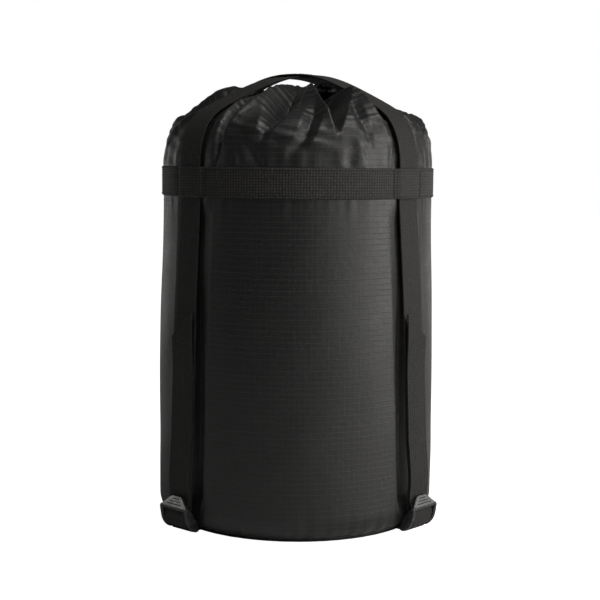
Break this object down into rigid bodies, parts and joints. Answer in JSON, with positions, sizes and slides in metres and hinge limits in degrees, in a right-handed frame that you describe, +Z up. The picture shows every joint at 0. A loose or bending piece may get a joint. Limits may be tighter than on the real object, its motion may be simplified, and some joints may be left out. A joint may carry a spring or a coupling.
{
  "type": "compression sack",
  "caption": "Round drawstring compression sack with crossed webbing straps over a gathered top, a girth band and ladder-lock buckles at the base.",
  "frame": {"origin": "centre of the base on the surface it stands on", "axes": "+Z up towards the gathered mouth, -Y the front; the side seam is at the back"},
  "size_m": [0.2434, 0.2418, 0.3864],
  "materials": {
    "ripstop": "coated ripstop nylon, dull sheen",
    "webbing": "ribbed nylon webbing",
    "thread": "bonded nylon thread",
    "cord": "braided polyester cord",
    "plastic": "moulded acetal, satin",
    "steel": "blackened steel"
  },
  "bodies": {
    "sack_base": {"base_panel": "ripstop", "base_binding": "webbing", "body_panel": "ripstop", "side_seam": "ripstop", "strap_leg_front_right": "webbing", "strap_leg_back_left": "webbing", "strap_leg_front_left": "webbing", "strap_leg_back_right": "webbing", "anchor_loop_front_right": "webbing", "anchor_loop_back_left": "webbing", "anchor_loop_front_left": "webbing", "anchor_loop_back_right": "webbing"},
    "sack_top": {"collar": "ripstop", "mouth_hem": "ripstop", "girth_band": "webbing", "band_tacks": "thread", "drawcord": "cord", "drawcord_eyelet": "steel", "drawcord_tail_left": "cord", "drawcord_tail_right": "cord", "cord_knot": "cord"},
    "strap_cross": {"cross_strap_over": "webbing", "cross_strap_under": "webbing", "cross_stitch": "thread"},
    "cord_lock": {"cord_lock_barrel": "plastic", "cord_lock_spring": "steel"},
    "cord_lock_button": {"cord_lock_button": "plastic"},
    "buckle_front_right_body": {"buckle_front_right": "plastic", "strap_wrap_front_right": "webbing"},
    "tail_front_right": {"strap_tail_front_right": "webbing"},
    "buckle_back_left_body": {"buckle_back_left": "plastic", "strap_wrap_back_left": "webbing"},
    "tail_back_left": {"strap_tail_back_left": "webbing"},
    "buckle_front_left_body": {"buckle_front_left": "plastic", "strap_wrap_front_left": "webbing"},
    "tail_front_left": {"strap_tail_front_left": "webbing"},
    "buckle_back_right_body": {"buckle_back_right": "plastic", "strap_wrap_back_right": "webbing"},
    "tail_back_right": {"strap_tail_back_right": "webbing"}
  },
  "joints": [
    {"name": "compress", "type": "slide", "parent": "sack_base", "child": "sack_top", "axis": [0, 0, 1], "range_m": [-0.06, 0], "deforming": ["body_panel", "side_seam", "strap_leg_front_right", "strap_leg_back_left", "strap_leg_front_left", "strap_leg_back_right"]},
    {"name": "strap_slack", "type": "slide", "parent": "sack_top", "child": "strap_cross", "axis": [0, 0, 1], "range_m": [0, 0.02]},
    {"name": "cord_lock_slide", "type": "slide", "parent": "sack_top", "child": "cord_lock", "axis": [0, 0, -1], "range_m": [0, 0.2]},
    {"name": "cord_lock_press", "type": "slide", "parent": "cord_lock", "child": "cord_lock_button", "axis": [-0.4226, 0.9063, 0], "range_m": [0, 0.0035], "stiffness_N_per_m": 400, "springref_m": -0.002, "deforming": ["cord_lock_spring"]},
    {"name": "buckle_front_right_tilt", "type": "hinge", "parent": "sack_base", "child": "buckle_front_right_body", "pos_m": [0.10148, -0.0659, 0.0044], "axis": [0.6691, 0.7431, 0], "range_deg": [0, 40]},
    {"name": "tail_front_right_run", "type": "slide", "parent": "sack_base", "child": "tail_front_right", "axis": [0, 0, 1], "range_m": [0, 0.06]},
    {"name": "buckle_back_left_tilt", "type": "hinge", "parent": "sack_base", "child": "buckle_back_left_body", "pos_m": [-0.10148, 0.0659, 0.0044], "axis": [-0.6691, -0.7431, 0], "range_deg": [0, 40]},
    {"name": "tail_back_left_run", "type": "slide", "parent": "sack_base", "child": "tail_back_left", "axis": [0, 0, 1], "range_m": [0, 0.06]},
    {"name": "buckle_front_left_tilt", "type": "hinge", "parent": "sack_base", "child": "buckle_front_left_body", "pos_m": [-0.09337, -0.07697, 0.0044], "axis": [0.7431, -0.6691, 0], "range_deg": [0, 40]},
    {"name": "tail_front_left_run", "type": "slide", "parent": "sack_base", "child": "tail_front_left", "axis": [0, 0, 1], "range_m": [0, 0.06]},
    {"name": "buckle_back_right_tilt", "type": "hinge", "parent": "sack_base", "child": "buckle_back_right_body", "pos_m": [0.09337, 0.07697, 0.0044], "axis": [-0.7431, 0.6691, 0], "range_deg": [0, 40]},
    {"name": "tail_back_right_run", "type": "slide", "parent": "sack_base", "child": "tail_back_right", "axis": [0, 0, 1], "range_m": [0, 0.06]}
  ],
  "couplings": [
    {"joint": "tail_front_right_run", "follows": "compress", "ratio": -1},
    {"joint": "tail_back_left_run", "follows": "compress", "ratio": -1},
    {"joint": "tail_front_left_run", "follows": "compress", "ratio": -1},
    {"joint": "tail_back_right_run", "follows": "compress", "ratio": -1}
  ]
}
